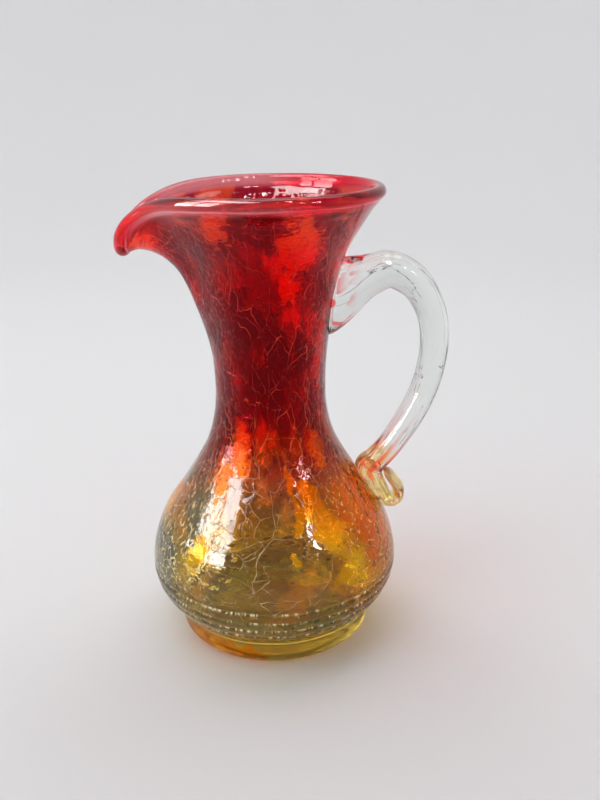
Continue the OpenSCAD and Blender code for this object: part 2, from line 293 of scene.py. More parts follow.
class Recipe:
    """A Geometry Nodes tree with named inputs, and the values they are set to."""

    def __init__(self, name, values):
        self.tree = bpy.data.node_groups.new(name, "GeometryNodeTree")
        interface = self.tree.interface
        for way in ("INPUT", "OUTPUT"):
            interface.new_socket("Geometry", in_out=way, socket_type="NodeSocketGeometry")
        self.values = {}
        for label, value in values.items():
            kind = {int: "Int", float: "Float"}.get(type(value), "Material")
            item = interface.new_socket(label, in_out="INPUT", socket_type="NodeSocket" + kind)
            self.values[item.identifier] = value
        entry = self.tree.nodes.new("NodeGroupInput")
        self.wires = {socket.name: Wire(self.tree, socket) for socket in entry.outputs if socket.name}

    def __getitem__(self, label):
        return self.wires[label]

    def guide(self, label):
        """A vector that was stored on the guide's points."""
        return wire(self.tree, "GeometryNodeInputNamedAttribute", {"Name": label},
                    data_type="FLOAT_VECTOR")

    def sample(self, label, index):
        """A vector of the guide, read at any index."""
        return wire(self.tree, "GeometryNodeSampleIndex",
                    {"Geometry": self["Geometry"], "Value": self.guide(label), "Index": index},
                    data_type="FLOAT_VECTOR", domain="POINT")

    def grid(self, around):
        """A grid with its columns and rows: columns go round, and a row stands for a point of the guide."""
        rows = wire(self.tree, "GeometryNodeAttributeDomainSize", {"Geometry": self["Geometry"]},
                    component="MESH")
        mesh = wire(self.tree, "GeometryNodeMeshGrid", {"Vertices X": around + 1.0, "Vertices Y": rows})
        index = wire(self.tree, "GeometryNodeInputIndex")
        column = (index / rows).math("FLOOR")
        return mesh, column / around * (2 * math.pi), index - column * rows

    def store(self, mesh, label, value):
        return wire(self.tree, "GeometryNodeStoreNamedAttribute",
                    {"Geometry": mesh, "Name": label, "Value": value},
                    data_type="FLOAT_VECTOR", domain="POINT")

    def move(self, mesh, **where):
        """Sets the points' Position, or moves them by an Offset."""
        return wire(self.tree, "GeometryNodeSetPosition", {"Geometry": mesh, **where})

    def close(self, mesh):
        """Merges the points of seams and poles."""
        return wire(self.tree, "GeometryNodeMergeByDistance", {"Geometry": mesh, "Distance": WELD})

    def finish(self, mesh):
        """Makes the mesh real and smooth, and gives it its material."""
        mesh = wire(self.tree, "GeometryNodeSetShadeSmooth", {"Geometry": mesh})
        mesh = wire(self.tree, "GeometryNodeRealizeInstances", {"Geometry": mesh})
        mesh = wire(self.tree, "GeometryNodeSetMaterial", {"Geometry": mesh, "Material": self["Material"]})
        place(self.tree, "NodeGroupOutput", {0: mesh})

    def cook(self, guide, name):
        """Runs the tree on a guide and returns the result as a plain object."""
        holder = add(name + "_guide", guide)
        modifier = holder.modifiers.new(self.tree.name, "NODES")
        modifier.node_group = self.tree
        for identifier, value in self.values.items():
            modifier[identifier] = value
        evaluated = holder.evaluated_get(bpy.context.evaluated_depsgraph_get())
        mesh = bpy.data.meshes.new_from_object(evaluated)
        bpy.data.objects.remove(holder)
        mesh.name = name
        return add(name, mesh)


def add(name, data):
    """Adds an object to the scene."""
    item = bpy.data.objects.new(name, data)
    bpy.context.scene.collection.objects.link(item)
    return item


def guide_mesh(name, attributes):
    """Loose points that carry vectors, one row of each array for a point."""
    points = len(next(iter(attributes.values())))
    mesh = bpy.data.meshes.new(name)
    mesh.from_pydata([(0.0, 0.0, 0.0)] * points, [], [])
    for label, rows in attributes.items():
        layer = mesh.attributes.new(label, "FLOAT_VECTOR", "POINT")
        layer.data.foreach_set("vector", np.asarray(rows, np.float32).ravel())
    return mesh


# ---- profile of the blown body ----

# The wall swells into the rim bead: over how much of its end, by which share, and how late.
SWELL_RUN, SWELL, SWELL_POWER = 5.2 * MM, 0.66, 2.2

# Where the wall meets the bead, as shares of the bead's radius below and beside its middle.
BEAD_LOW, BEAD_SIDE = 0.6, 0.89


def hermite(t, h, start, end, leave, arrive):
    """A cubic from one value to another over a step h, with its slopes at both ends."""
    return ((2 * t**3 - 3 * t**2 + 1) * start + (t**3 - 2 * t**2 + t) * h * leave
            + (3 * t**2 - 2 * t**3) * end + (t**3 - t**2) * h * arrive)


class Profile:
    """The outside of the body: a smooth curve through its heights and radii."""

    def __init__(self, foot, body):
        knots = [(foot.height, foot.radius)] + [tuple(k) for k in (
            body.under, body.belly, body.shoulder, body.slope, body.collar, body.neck,
            body.throat, body.flare, body.lip, body.rim)]
        self.z, self.r = np.array(knots, float).T
        step = np.diff(self.z)
        rise = np.diff(self.r) / step
        inner = (step[1:] * rise[:-1] + step[:-1] * rise[1:]) / (step[1:] + step[:-1])
        inner[rise[:-1] * rise[1:] <= 0] = 0
        self.slope = np.concatenate([[foot.crease], inner, [rise[-1]]])

    def radius(self, z):
        z = np.asarray(z, float)
        i = np.clip(np.searchsorted(self.z, z, side="right") - 1, 0, len(self.z) - 2)
        h = self.z[i + 1] - self.z[i]
        return hermite((z - self.z[i]) / h, h, self.r[i], self.r[i + 1], self.slope[i], self.slope[i + 1])

    def steepness(self, z):
        return (self.radius(z + 0.05 * MM) - self.radius(z - 0.05 * MM)) / (0.1 * MM)


def bezier(a, b, c, d, t):
    """Points of a cubic curve for an array of parameters."""
    t = np.asarray(t, float)[:, None]
    a, b, c, d = (np.asarray(p, float) for p in (a, b, c, d))
    return (1 - t) ** 3 * a + 3 * t * (1 - t) ** 2 * b + 3 * t**2 * (1 - t) * c + t**3 * d


def soften(line, rounds):
    """Cuts the corners of an open line, which rounds them; its ends stay."""
    line = np.asarray(line, float)
    for _ in range(rounds):
        cut = np.empty((2 * len(line) - 2, line.shape[1]))
        cut[0::2] = 0.75 * line[:-1] + 0.25 * line[1:]
        cut[1::2] = 0.25 * line[:-1] + 0.75 * line[1:]
        line = np.vstack([line[:1], cut, line[-1:]])
    return line


def respace(line, spacing):
    """The same line with points at about an even spacing."""
    line = np.asarray(line, float)
    run = np.concatenate([[0], np.cumsum(np.linalg.norm(np.diff(line, axis=0), axis=1))])
    stops = np.linspace(0, run[-1], max(2, int(round(run[-1] / spacing)) + 1))
    return np.column_stack([np.interp(stops, run, line[:, k]) for k in range(line.shape[1])])


def turned_rows(line):
    """Guide rows for a part that is round all the way: points of radius and height."""
    rows = np.zeros((len(line), 6))
    rows[:, 0], rows[:, 2] = line[:, 0], line[:, 1]
    return rows


def wall_rows(profile, heights, depth, across):
    """Guide rows for the wall, at a depth under its outer skin and a share of the bead's radius."""
    return np.column_stack([
        profile.radius(heights), profile.steepness(heights), heights,
        np.broadcast_to(depth, heights.shape), np.broadcast_to(across, heights.shape),
        np.zeros_like(heights)])


def underside(foot):
    """The line from the middle of the pontil mark out to the crease over the foot."""
    hollow = foot.radius - foot.edge - foot.ring
    r = np.linspace(foot.pontil, hollow, 12)
    mark = foot.kick - foot.pontil_drop
    line = [(0.0, mark), (foot.pontil - foot.pontil_drop, mark)]
    line += list(zip(r, foot.kick * (1 - (r / hollow) ** 2)))
    turn = np.radians(np.linspace(-90, 0, 13))
    centre = foot.radius - foot.edge
    line += list(zip(centre + foot.edge * np.cos(turn), foot.edge + foot.edge * np.sin(turn)))
    line.append((foot.radius, foot.height))
    return respace(soften(line, 2), 0.7 * MM)


def vessel_guide(foot, body):
    """Rows (radius, steepness, height, depth, across, up) from under the foot over the rim to the floor."""
    profile = Profile(foot, body)
    wall, rim_z = body.wall, body.rim[0]
    wall_top, middle = rim_z - BEAD_LOW * body.bead, 30 * MM

    def near_rim(z):
        """Rises from zero to one over the end of the wall."""
        return np.clip(1 - (wall_top - z) / SWELL_RUN, 0, 1)

    def swell(z):
        return SWELL * near_rim(z) ** SWELL_POWER

    under = underside(foot)
    outer = np.concatenate([
        np.linspace(foot.height, middle, 76)[1:], np.linspace(middle, wall_top, 138)[1:]])
    inner = np.concatenate([
        np.linspace(wall_top, middle, 108)[:-1], np.linspace(middle, body.corner, 36)])
    outside = wall_rows(profile, outer, swell(outer) * wall / 2, -swell(outer))
    inside = wall_rows(profile, inner, wall * (1 - swell(inner) / 2), swell(inner))
    meeting = math.pi - math.asin(BEAD_SIDE)
    turn = np.linspace(-meeting, meeting, 23)
    rim = wall_rows(profile, np.full(len(turn), rim_z), wall / 2, np.sin(turn))
    rim[:, 5] = np.cos(turn)
    corner_slope = profile.steepness(body.corner)
    corner_r = profile.radius(body.corner) - wall * math.sqrt(1 + corner_slope**2)
    pull = (body.corner - body.floor) * 0.55
    corner = bezier((corner_r, body.corner), (corner_r - corner_slope * pull, body.corner - pull),
                    ((body.floor_flat + 2 * corner_r) / 3, body.floor), (body.floor_flat, body.floor),
                    np.linspace(0, 1, 40))
    floor = respace(np.vstack([corner[1:], [(0.0, body.floor)]]), 0.45 * MM)
    rows = np.vstack([turned_rows(under), outside, rim, inside, turned_rows(floor)])
    side = np.repeat([-1, 0, 1], [len(under) + len(outside), len(rim), len(inside) + len(floor)])
    return rows, side, near_rim(rows[:, 2])


def vessel_tree(values):
    """Turns the guide round the axis, and pulls and bends the mouth into its spout."""
    recipe = Recipe("Blown vessel", values)
    mesh, even, row = recipe.grid(recipe["Turns"])
    radius, slope, height = separate(recipe.sample("skin", row))
    depth, across, lift = separate(recipe.sample("offset", row))
    face = recipe.sample("face", row)

    turn = even + even.math("SINE") * recipe["Crowding"]
    away = turn - math.pi
    start, reach, tuck = recipe["Start"], recipe["Reach"], recipe["Tuck"]
    span = recipe["Rim height"] - start
    along = ((height - start) / span).at_least(0.0)

    def pulled(spread):
        share = away / spread
        return bell(share), share / spread

    wide, wide_rate = pulled(recipe["Spread"])
    tight, tight_rate = pulled(recipe["Tuck spread"])
    pull = reach * wide - tuck * tight
    pull_rate = tuck * tight * tight_rate * 2.0 - reach * wide * wide_rate * 2.0
    lean = away / recipe["Drop spread"]
    broad = lean * lean + 1.0
    dip = broad ** -1.5
    fall = recipe["Drop"] * dip
    fall_rate = recipe["Drop"] * (broad ** -2.5) * lean / recipe["Drop spread"] * -3.0

    # The skin and its slopes, upwards and round, which give the wall its direction inwards.
    pull_power, fall_power = 1.3, 4.0
    out = radius + pull * along ** pull_power
    z = height - fall * along ** fall_power
    out_up = slope + pull * pull_power * along ** (pull_power - 1.0) / span
    z_up = 1.0 - fall * fall_power * along ** (fall_power - 1.0) / span
    out_turn = pull_rate * along ** pull_power
    z_turn = fall_rate * along ** fall_power * -1.0
    cosine, sine = turn.math("COSINE"), turn.math("SINE")
    skin = combine(out * cosine, out * sine, z)
    up = combine(out_up * cosine, out_up * sine, z_up)
    path = combine(out_turn * cosine - out * sine, out_turn * sine + out * cosine, z_turn)
    inward = vectors("NORMALIZE", vectors("CROSS_PRODUCT", up, path))
    square = vectors("NORMALIZE", vectors("CROSS_PRODUCT", path, inward))
    bead = recipe["Bead"] + (recipe["Bead at the tip"] - recipe["Bead"]) * dip
    sunk = depth + bead * across
    shell = vectors("ADD", skin, vectors("ADD", scaled(inward, sunk), scaled(square, bead * lift)))
    mesh = recipe.move(mesh, Position=shell)
    mesh = recipe.store(mesh, "crackle", combine(cosine, sine, height / recipe["Stretch"]))
    mesh = recipe.store(mesh, "face", face)
    mesh = recipe.close(mesh)

    # The closed skin ripples a little, and the threads stand out of it.
    here = wire(recipe.tree, "GeometryNodeInputPosition")
    normal = wire(recipe.tree, "GeometryNodeInputNormal")
    ripple = noise(here, recipe["Ripple scale"], 1.0)
    side, ring, _ = separate(recipe.guide("face"))
    round_x, round_y, _ = separate(recipe.guide("crackle"))
    _, _, level = separate(here)
    off_handle = ((0.95 - round_x) * 10.0).limited()
    off_table = ((level - 2 * MM) / (4 * MM)).limited()
    share = side * -0.45 + side.math("ABSOLUTE") * 0.55
    ripple = (ripple - 0.5) * recipe["Ripple"] * share * off_handle * off_table
    wobble = noise(combine(round_x, round_y, 0.0), 2.2)
    phase = ring + (wobble - 0.5) * 0.5
    number = phase.math("ROUND")
    notches = noise(combine(round_x, round_y, number), 18.0, 1.0)
    band = phase.math("GREATER_THAN", 0.5) * phase.math("LESS_THAN", recipe["Threads"] + 0.5)
    half_thread = 0.16
    thread = bell((phase - number) / half_thread) * band * recipe["Thread"] * (notches + 0.5)
    recipe.finish(recipe.move(mesh, Offset=scaled(normal, ripple + thread)))
    return recipe


# ---- handle ----


def handle_stations(profile, handle):
    """Stations along the rod's middle line, each (x, z, half thickness, half width)."""
    buried = 1.9 * MM
    pad_x = profile.radius(handle.pad_height) - buried
    stations = []
    for u in (0, 0.2, 0.4, 0.6, 0.8):
        k = math.cos(math.radians(90 * u))
        stations.append((
            pad_x + (handle.crest_x - pad_x) * u,
            handle.crest_z - (handle.crest_z - handle.pad_height) * k**1.6,
            (handle.crest_d + (handle.pad_size - handle.crest_d) * k**2) / 2,
            (handle.crest_d + (handle.pad_width - handle.crest_d) * k**2) / 2))
    crest = len(stations)
    for turn in (0, 30, 60, 90):
        sine, cosine = math.sin(math.radians(turn)), math.cos(math.radians(turn))
        half = (handle.crest_d + (handle.reach_d - handle.crest_d) * sine) / 2
        stations.append((handle.crest_x + (handle.reach_x - handle.crest_x) * sine,
                         handle.reach_z + (handle.crest_z - handle.reach_z) * cosine, half, half))

    land = np.array([profile.radius(handle.land_z), handle.land_z])
    down = np.array([-profile.steepness(handle.land_z - 4 * MM), -1.0])
    down /= np.linalg.norm(down)
    out = np.array([-down[1], down[0]])

    def on_wall(s, n, t, w):
        """A station s down the wall from the landing and n away from it."""
        return (*(land + down * s + out * n), t, w)

    approach = np.array(on_wall(1.6 * MM, handle.land_d * 1.15, 0, 0)[:2])
    far = np.array([handle.reach_x, handle.reach_z])
    below = np.array([handle.reach_x, handle.reach_z * 0.62 + approach[1] * 0.38])
    for t in (0.25, 0.5, 0.75, 1.0):
        x, z = bezier(far, below, approach + np.array([0.62, 0.78]) * 12 * MM, approach, [t])[0]
        half = (handle.reach_d + (handle.land_d - handle.reach_d) * t) / 2
        stations.append((x, z, half, half))

    leg, press, gap, fold = handle.tail_t / 2, handle.press, handle.fold_gap, handle.fold
    end, d, heel = handle.tail - leg, handle.land_d, handle.heel
    tail = [(2.3 * MM - heel * 0.15, d * 0.8 - heel * 0.1, d * 0.47 + heel * 0.18, 0.94),
            (3.6 * MM - heel * 0.7, d * 0.52 - heel * 0.7, d * 0.43 + heel, 1.0),
            (5.7 * MM, d * 0.36, d * 0.385, 1.0)]
    for s in (8.4 * MM, end - 4.6 * MM, end - 1.8 * MM):
        t = leg * 1.1 + (d * 0.385 - leg * 1.1) * (end - s) / (end - 5.7 * MM)
        tail.append((s, t - press, t, 1.0))
    tail += [(end - 0.1 * MM, leg - press + gap * 0.3, leg * 0.94, 0.96),
             (end, leg - press + gap * 0.7, leg * 0.92, 0.92),
             (end - 1.7 * MM, leg - press + gap, leg, 0.88),
             (end - fold * 0.6, leg - press + gap * 1.1, leg * 0.92, 0.8),
             (end - fold * 0.92, leg - press + gap * 1.08, leg * 0.75, 0.6),
             (end - fold * 1.08, leg - press + gap * 1.06, leg * 0.3, 0.3)]
    stations += [on_wall(*place_on, handle.tail_w / 2 * share) for *place_on, share in tail]
    return np.array(stations), crest


def smooth_run(stations, steps):
    """A smooth curve through every station, with the same number of steps between any two."""
    chord = np.linalg.norm(np.diff(stations[:, :2], axis=0), axis=1)
    step = np.diff(stations, axis=0) / chord[:, None]
    middle = ((chord[1:, None] * step[:-1] + chord[:-1, None] * step[1:])
              / (chord[1:] + chord[:-1])[:, None])
    tangent = np.vstack([step[:1], middle, step[-1:]])
    t = np.arange(steps)[:, None] / steps
    run = [hermite(t, h, stations[i], stations[i + 1], tangent[i], tangent[i + 1])
           for i, h in enumerate(chord)]
    return np.vstack(run + [stations[-1:]])


def handle_guide(profile, handle, steps, rings):
    """Centre, thickness direction and size for each ring of the rod, after spare rings for its pad."""
    stations, crest = handle_stations(profile, handle)
    run = smooth_run(stations, steps)
    ahead = np.gradient(run[:, :2], axis=0)
    ahead /= np.linalg.norm(ahead, axis=1)[:, None]
    across = np.column_stack([-ahead[:, 1], ahead[:, 0]])
    last = crest * steps
    lean_to = math.atan2(across[last, 0], across[last, 1])
    lean = handle.pad_lean + (lean_to - handle.pad_lean) * np.arange(last) / last
    across[:last] = np.column_stack([np.sin(lean), np.cos(lean)])

    # The tail ends in a rounded nose, and the pad's rings wait at the start.
    nose = np.radians([20, 40, 60, 75, 90])
    tip = run[-1] + np.column_stack([
        np.outer(np.sin(nose), ahead[-1] * run[-1, 2]), np.outer(np.cos(nose) - 1, run[-1, 2:])])
    run = np.vstack([np.repeat(run[:1], rings, axis=0), run, tip])
    across = np.repeat(across, [rings + 1] + [1] * (len(across) - 2) + [len(nose) + 1], axis=0)
    arc = np.concatenate([[0], np.cumsum(np.linalg.norm(np.diff(run[:, :2], axis=0), axis=1))])
    flat = np.zeros(len(run))
    return {
        "centre": np.column_stack([run[:, 0], flat, run[:, 1]]),
        "thick": np.column_stack([across[:, 0] * run[:, 2], flat, across[:, 1] * run[:, 2]]),
        "size": np.column_stack([run[:, 3], arc, flat]),
    }, last


def handle_tree(values):
    """Draws an oval rod along the guide's rings."""
    recipe = Recipe("Drawn handle", values)
    mesh, turn, row = recipe.grid(recipe["Round"])
    centre, thick = recipe.sample("centre", row), recipe.sample("thick", row)
    width, arc, _ = separate(recipe.sample("size", row))
    cosine, sine = turn.math("COSINE"), turn.math("SINE")
    side = combine(0.0, width * sine * -1.0, 0.0)
    rod = vectors("ADD", centre, vectors("ADD", scaled(thick, cosine), side))
    grain = combine(cosine, sine, arc / recipe["Grain"])
    recipe.finish(recipe.store(recipe.move(mesh, Position=rod), "grain", grain))
    return recipe


def seat_handle(piece, profile, handle, columns, rows, crest, rings):
    """Ends the rod on the neck with a closed pad, and rests its tail on the bulb."""
    mesh = piece.data
    points = np.empty(len(mesh.vertices) * 3, np.float32)
    mesh.vertices.foreach_get("co", points)
    grid = points.reshape(columns, rows, 3).astype(float)

    def clearance(p):
        """How far points stand off the body; below zero they are inside it."""
        return np.hypot(p[..., 0], p[..., 1]) - profile.radius(p[..., 2]) - handle.seat_gap

    # Each line of the rod starts where it comes out of the neck.
    body = grid[:, rings:]
    depth = clearance(body[:, :crest])
    for a in range(columns):
        inside = np.nonzero(depth[a] < 0)[0]
        i = inside[-1]
        start = i + depth[a, i] / (depth[a, i] - depth[a, i + 1])
        stops = start + (crest - start) * np.arange(crest + 1) / crest
        for k in range(3):
            body[a, :crest + 1, k] = np.interp(stops, np.arange(crest + 1), body[a, :crest + 1, k])

    # The pad's rings shrink from there to its middle.
    middle = body[:-1, 0].mean(axis=0)
    share = np.linspace(0, 1, rings, endpoint=False)[None, :, None]
    grid[:, :rings] = middle + (body[:, :1] - middle) * share

    # Whatever is still inside the body is pushed out to it, apart from the rod under the flare.
    low = clearance(grid)
    free = slice(rings + crest // 2, rings + crest + 10)
    low[:, free] = 1
    flare_z = 110 * MM
    push = np.maximum(-low, 0) * (grid[..., 2] < flare_z)
    reach = np.hypot(grid[..., 0], grid[..., 1])
    grid[..., :2] *= (1 + push / reach)[..., None]
    mesh.vertices.foreach_set("co", grid.astype(np.float32).ravel())
    close_mesh(mesh)


def close_mesh(mesh):
    """Merges the points of seams and poles of a plain mesh."""
    work = bmesh.new()
    work.from_mesh(mesh)
    bmesh.ops.remove_doubles(work, verts=work.verts, dist=WELD)
    work.to_mesh(mesh)
    work.free()
    mesh.update()


# ---- glass ----

HALF = (0.5, 0.5, 0.5)
WHITE = (1.0, 1.0, 1.0)

# Levels, as shares of the rim's height, between which the bulb turns into the neck.
NECK = (0.36, 0.50)

# How many cells of the fine net of cracks go to one of the large net.
FINE = 2.9

# Painted glow, partly the glass's uneven colour: patches where light shines through the glass, laid in as
# thin colour; angle from the front, height in mm, half angle, half height in mm.
GLOW_PLACES = (
    (19, 116, 15, 8), (17, 106, 8, 5), (-27, 122, 9, 5), (-30, 62, 8, 7), (-41, 52, 5, 6),
    (-40, 35, 6, 6), (24, 47, 9, 6), (31, 40, 10, 4), (39, 30, 9, 5), (44, 60, 8, 6),
    (56, 86, 6, 12), (11, 36, 2.5, 2), (12, 50, 2.5, 9), (-42, 3, 34, 4), (166, 99, 22, 10),
    (-160, 104, 13, 8), (-168, 52, 15, 9), (150, 64, 12, 9), (100, 46, 11, 8), (-92, 121, 16, 7),
    (-95, 40, 12, 6), (75, 112, 10, 8))


def new_material(name):
    """A material with an empty node tree."""
    material = bpy.data.materials.new(name)
    material.use_nodes = True
    material.node_tree.nodes.clear()
    return material


def read(tree, label):
    """An attribute of the mesh as a vector."""
    return wire(tree, "ShaderNodeAttribute", output=1, attribute_name=label)


def position(tree):
    """The shaded point in the piece's own space."""
    return wire(tree, "ShaderNodeTexCoord", output=3)


def ramp(value, low, high, to_low=0.0, to_high=1.0):
    """Maps a range smoothly to another one and holds the ends."""
    return wire(value.tree, "ShaderNodeMapRange", {
        "Value": value, "From Min": low, "From Max": high, "To Min": to_low, "To Max": to_high,
    }, interpolation_type="SMOOTHSTEP")


def fade(value, low, high):
    """A ramp from one down to zero."""
    return ramp(value, low, high, 1.0, 0.0)


def wander(vector, scale, detail, amount):
    """An offset that changes from place to place."""
    return scaled(vectors("SUBTRACT", noise(vector, scale, detail, 1), HALF), amount)


def edges(vector, scale):
    """Distance to the nearest edge of a net of irregular cells."""
    return wire(vector.tree, "ShaderNodeTexVoronoi", {"Vector": vector, "Scale": scale},
                feature="DISTANCE_TO_EDGE")


def cells(vector, scale):
    """Irregular cells: the distance to each one's middle, its colour and the middle itself."""
    node = place(vector.tree, "ShaderNodeTexVoronoi", {"Vector": vector, "Scale": scale}, feature="F1")
    return [Wire(vector.tree, node.outputs[name]) for name in ("Distance", "Color", "Position")]


def tilted(vector, scale):
    """Height of a surface that is broken into cells, each leaning its own way."""
    _, lean, middle = cells(vector, scale)
    return vectors("DOT_PRODUCT", vectors("SUBTRACT", lean, HALF), vectors("SUBTRACT", vector, middle))


def banded(level, *stops):
    """A colour that changes along a value, through pairs of a place and a colour."""
    node = place(level.tree, "ShaderNodeValToRGB", {0: level})
    elements = node.color_ramp.elements
    while len(elements) < len(stops):
        elements.new(0.5)
    for element, (at, tint) in zip(elements, stops):
        element.position = at
        element.color = (*tint, 1.0)
    return Wire(level.tree, node.outputs[0])


def mixed(factor, first, second):
    """Blends two colours, each of them a wire or three plain values."""
    first, second = (shade if isinstance(shade, Wire) else (*shade, 1.0) for shade in (first, second))
    return wire(factor.tree, "ShaderNodeMix", {"Factor": factor, 6: first, 7: second}, 2, data_type="RGBA")


def layered(base, *layers):
    """Lays colours one over the other, each by its share."""
    for share, shade in layers:
        base = mixed(share, base, shade)
    return base


def bumped(relief):
    """Bends the surface's shading by a relief in millimetres."""
    return wire(relief.tree, "ShaderNodeBump", {"Strength": 1.0, "Distance": MM, "Height": relief})


def finish_material(tree, settings):
    """Ends a material in one shader."""
    shader = place(tree, "ShaderNodeBsdfPrincipled", settings)
    output = tree.nodes.new("ShaderNodeOutputMaterial")
    tree.links.new(shader.outputs[0], output.inputs["Surface"])


class Skin:
    """Where a point of the vessel's glass lies, as wires for its material."""

    def __init__(self, tree, glass, body, stretch):
        self.place = position(tree)
        self.turned = read(tree, "crackle")
        self.side, self.ring, near_rim = separate(read(tree, "face"))
        self.x, self.y, rise = separate(self.turned)
        self.stretch = stretch
        self.height = rise * stretch
        drift = (noise(self.place, 60.0) - 0.5) * (14 * MM)
        self.level = (self.height + drift) / body.rim[0]
        self.threads = body.threads
        self.outside = self.side.math("LESS_THAN", -0.5)
        self.crackled = ramp(self.height, 8 * MM, 12 * MM) * fade(near_rim, 0.35, 0.75)
        self.at_rim = ramp(near_rim, 0.70, 1.0)
        self.on_neck = ramp(self.level, *NECK)
        self.patchy = ramp(noise(self.turned, 3.4), 0.44, 0.54)
        self.streaked = noise(stretched(self.turned, 3.2), 9.0, 5.0)
        shoved = vectors("ADD", self.turned, wander(self.turned, 2.6, 2.0, 0.30))
        self.bent = vectors("ADD", shoved, wander(self.turned, 22.0, 3.0, 0.022))
        self.per_unit = stretch / glass.cell


def crackle_net(skin):
    """The bright lines of the cracks, whose brightness is painted light caught in them, and the painted
    shade along them.
    """
    turned, bent, level, on_neck = skin.turned, skin.bent, skin.level, skin.on_neck
    breadth = noise(turned, 5.0) * 0.7 + 0.40

    # Wide cells all over, fine ones in places, and long ones drawn up the neck.
    large = edges(bent, skin.per_unit) / breadth
    fine = edges(bent, skin.per_unit * FINE) / breadth
    slim = 1.0 - on_neck * 0.35
    width = ramp(noise(turned, 9.0), 0.40, 0.60, 0.005, 0.011) * slim
    fine_line = fade(fine, 0.0, ramp(level, *NECK, 0.020, 0.015)) * skin.patchy * slim
    long_line = fade(edges(stretched(bent, 0.42), skin.per_unit * 1.9) / breadth, 0.0, 0.014) * on_neck

    # Some stretches of a crack catch the light, and short flecks of painted glint cover the flanks.
    gleam = ramp(noise(turned, 4.5, 3.0), 0.42, 0.58, ramp(level, *NECK, 0.6, 0.2), 1.0)
    flank = ramp(skin.x.math("ABSOLUTE"), 0.45, 0.65).at_least(skin.patchy * 0.3)
    dash = fade(edges(stretched(bent, 0.6), skin.per_unit * 5.5), 0.0, 0.09)
    dash = dash * ramp(noise(turned, 26.0, 1.0), 0.52, 0.58) * flank * (1.0 - on_neck * 0.6)

    line = fine_line.at_least(long_line * 0.9) * gleam
    line = line.at_least(fade(large, 0.0, width) * (gleam * 0.4 + 0.6)).at_least(dash)
    # Painted shade: a dark band along the crack lines.
    crack_shade = ramp(large, 0.006, 0.026, 0.5, 0.0).at_least(ramp(fine, 0.015, 0.05, 0.3, 0.0) * skin.patchy)
    return line * skin.crackled * skin.outside, crack_shade * skin.crackled * skin.outside


def painted_thread_glints(skin):
    """Painted glints broken along the raised threads, and painted shade in the glass between them."""
    ring, last = skin.ring, skin.threads
    number = ring.math("ROUND")
    around = combine(skin.x, skin.y, number)
    offset = ring - number + (noise(around, 2.2) - 0.5) * 0.25
    on_ring = bell(offset, 50.0) * ramp(ring, 0.4, 0.5) * fade(ring, last + 0.5, last + 0.6)
    dotted = ramp(noise(around, 34.0, 1.0), 0.48, 0.55) * ramp(noise(around, 6.0, 1.0), 0.36, 0.46)
    between = ramp(ring, 0.3, 0.6) * fade(ring, last + 0.4, last + 0.7) * (1.0 - on_ring)
    return dotted * on_ring * skin.outside, between * skin.outside


def glow_patches(skin):
    """Ragged patches round the glow places: thin colour and painted glow of light shining through the
    glass.
    """
    nearest = None
    for angle, height, half_angle, half_height in GLOW_PLACES:
        turn, half = math.radians(angle), math.radians(half_angle)
        centre = (math.sin(turn), -math.cos(turn), height * MM / skin.stretch)
        away = vectors("DIVIDE", vectors("SUBTRACT", skin.bent, centre),
                       (half, half, half_height * MM / skin.stretch))
        away = vectors("LENGTH", away)
        nearest = away if nearest is None else nearest.math("MINIMUM", away)
    ragged = nearest + (noise(skin.turned, 8.0, 6.0) - 0.5) * 1.5
    ragged = ragged + (skin.streaked - 0.5) * (skin.on_neck + 0.3)
    out = vectors("LENGTH", stretched(skin.place, 0.0))
    off_floor = ramp(out, 22 * MM, 26 * MM).at_least(ramp(skin.height, 9 * MM, 12 * MM))
    return fade(ragged, 0.95, 1.05) * off_floor


